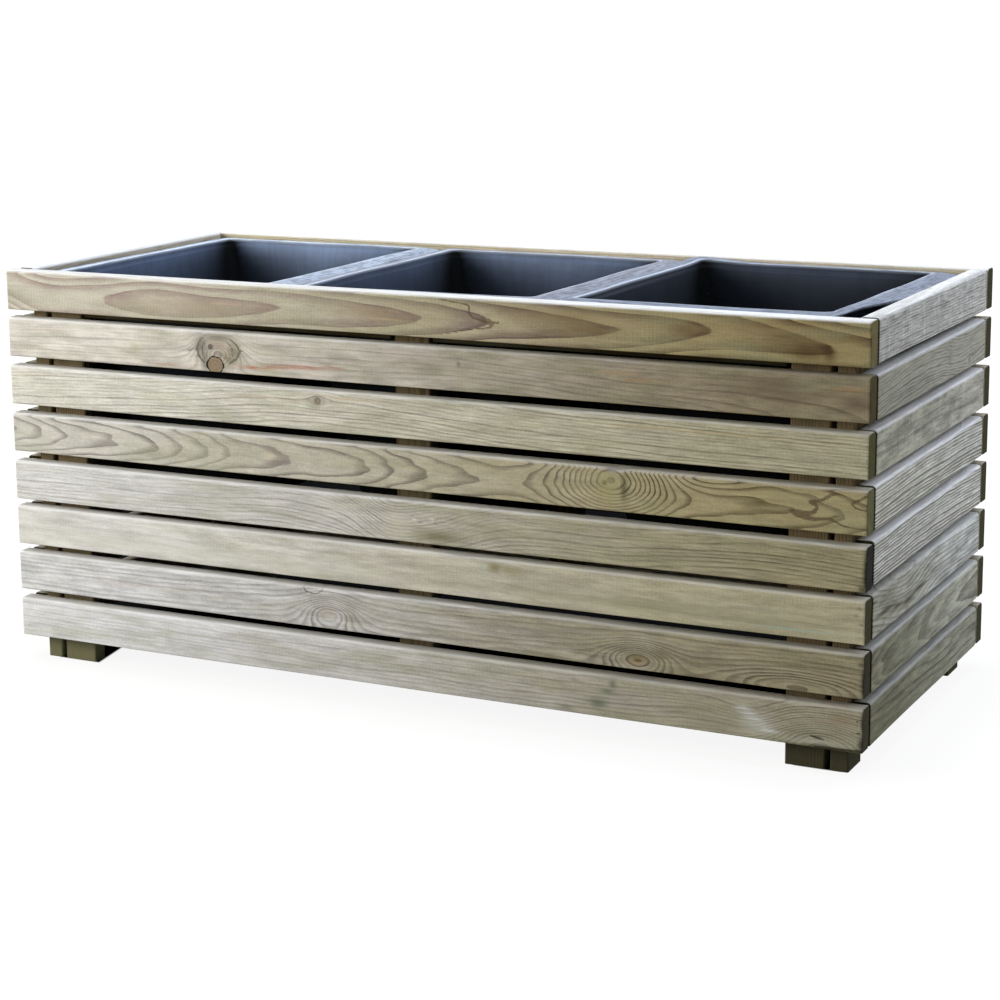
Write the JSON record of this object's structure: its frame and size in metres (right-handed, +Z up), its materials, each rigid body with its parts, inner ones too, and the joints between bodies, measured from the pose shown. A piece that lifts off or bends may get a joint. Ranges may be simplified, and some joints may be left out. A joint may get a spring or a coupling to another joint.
{
  "type": "wooden planter",
  "caption": "Long rectangular planter of horizontal wooden slats on corner battens, with lift-out plastic tub liners hung by their rims.",
  "frame": {"origin": "on the ground, at the centre of the footprint", "axes": "+X along the length, to the right seen from the front; +Y from the front to the rear; +Z up"},
  "size_m": [1, 0.435, 0.45],
  "materials": {
    "long_boards": "planed, pressure-treated softwood, pale with a green-grey tint",
    "end_boards": "planed, pressure-treated softwood, pale grey",
    "battens": "planed, pressure-treated softwood, grey-brown",
    "liners": "vacuum-formed black plastic, satin, scuffed on the rims",
    "screws": "zinc plated"
  },
  "bodies": {
    "frame": {"front_slat_1": "long_boards", "front_slat_2": "long_boards", "front_slat_3": "long_boards", "front_slat_4": "long_boards", "front_slat_5": "long_boards", "front_slat_6": "long_boards", "front_slat_7": "long_boards", "front_slat_8": "long_boards", "rear_slat_1": "long_boards", "rear_slat_2": "long_boards", "rear_slat_3": "long_boards", "rear_slat_4": "long_boards", "rear_slat_5": "long_boards", "rear_slat_6": "long_boards", "rear_slat_7": "long_boards", "rear_slat_8": "long_boards", "left_slat_1": "end_boards", "left_slat_2": "end_boards", "left_slat_3": "end_boards", "left_slat_4": "end_boards", "left_slat_5": "end_boards", "left_slat_6": "end_boards", "left_slat_7": "end_boards", "left_slat_8": "end_boards", "right_slat_1": "end_boards", "right_slat_2": "end_boards", "right_slat_3": "end_boards", "right_slat_4": "end_boards", "right_slat_5": "end_boards", "right_slat_6": "end_boards", "right_slat_7": "end_boards", "right_slat_8": "end_boards", "front_batten_left": "battens", "left_batten_front": "battens", "front_batten_right": "battens", "right_batten_front": "battens", "rear_batten_left": "battens", "left_batten_rear": "battens", "rear_batten_right": "battens", "right_batten_rear": "battens", "front_batten_middle": "battens", "rear_batten_middle": "battens", "front_ledge_left": "battens", "front_ledge_right": "battens", "rear_ledge_left": "battens", "rear_ledge_right": "battens", "screw_front_left_lower": "screws", "screw_front_left_upper": "screws", "screw_front_right_lower": "screws", "screw_front_right_upper": "screws", "screw_rear_left_lower": "screws", "screw_rear_left_upper": "screws", "screw_rear_right_lower": "screws", "screw_rear_right_upper": "screws"},
    "liner_left": {"liner_left": "liners"},
    "liner_middle": {"liner_middle": "liners"},
    "liner_right": {"liner_right": "liners"}
  },
  "joints": [
    {"name": "liner_left_lift", "type": "slide", "parent": "frame", "child": "liner_left", "axis": [0, 0, 1], "range_m": [0, 0.27]},
    {"name": "liner_middle_lift", "type": "slide", "parent": "frame", "child": "liner_middle", "axis": [0, 0, 1], "range_m": [0, 0.27]},
    {"name": "liner_right_lift", "type": "slide", "parent": "frame", "child": "liner_right", "axis": [0, 0, 1], "range_m": [0, 0.27]}
  ]
}
